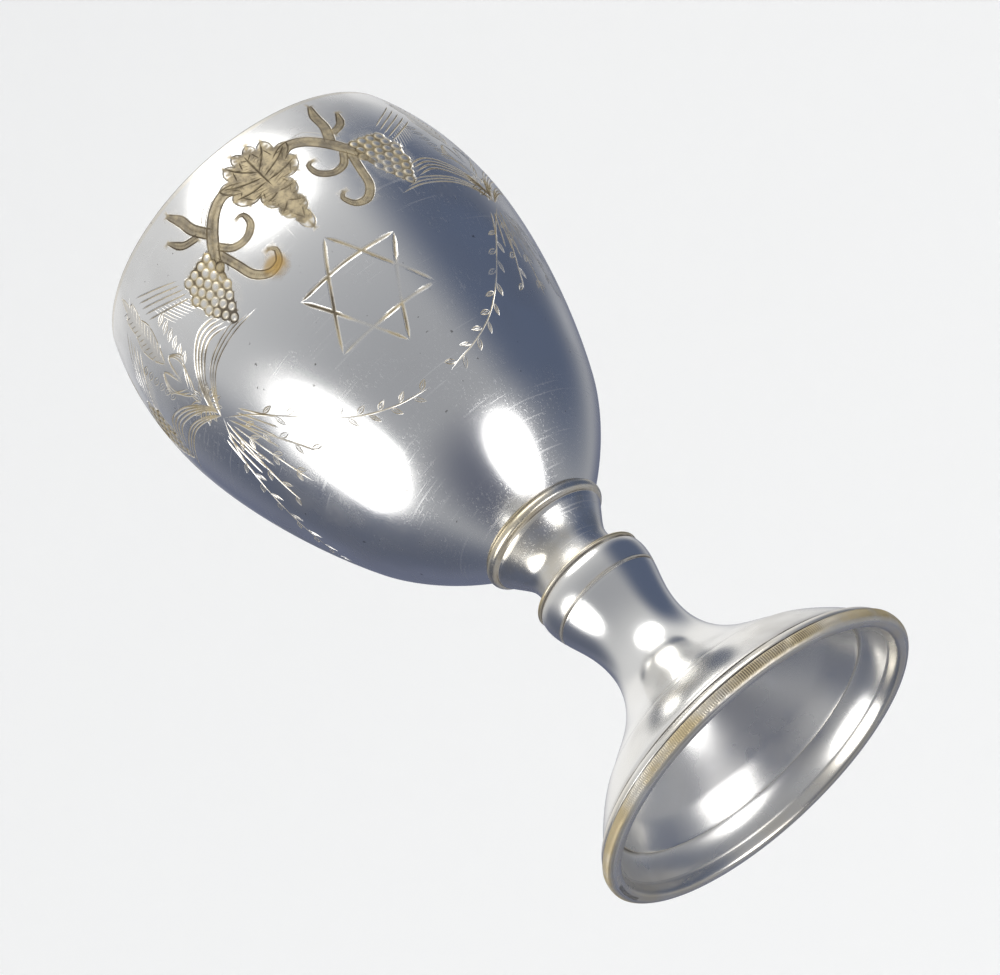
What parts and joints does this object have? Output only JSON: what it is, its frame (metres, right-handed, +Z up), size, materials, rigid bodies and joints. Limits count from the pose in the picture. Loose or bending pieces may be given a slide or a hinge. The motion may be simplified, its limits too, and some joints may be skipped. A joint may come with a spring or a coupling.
{
  "type": "kiddush cup",
  "caption": "Stemmed ceremonial goblet with an egg-shaped open bowl, a flared collar, a turned stem and a hollow stepped foot; stars are engraved round the bowl.",
  "frame": {"origin": "centre of the flat ring that the foot stands on", "axes": "+Z up along the axis on which the pieces are spun, from the foot to the rim; -Y faces the front star"},
  "size_m": [0.0694, 0.0694, 0.132],
  "materials": {
    "silver_plate": "worn polished silver plate with soft grey tarnish, brass showing in the engraving and on the edges",
    "worn_silver_plate": "silver plate rubbed thin, slightly warm, with brown solder lines"
  },
  "bodies": {
    "root": {"bowl": "silver_plate", "collar": "worn_silver_plate", "stem_and_foot": "silver_plate"}
  },
  "joints": []
}
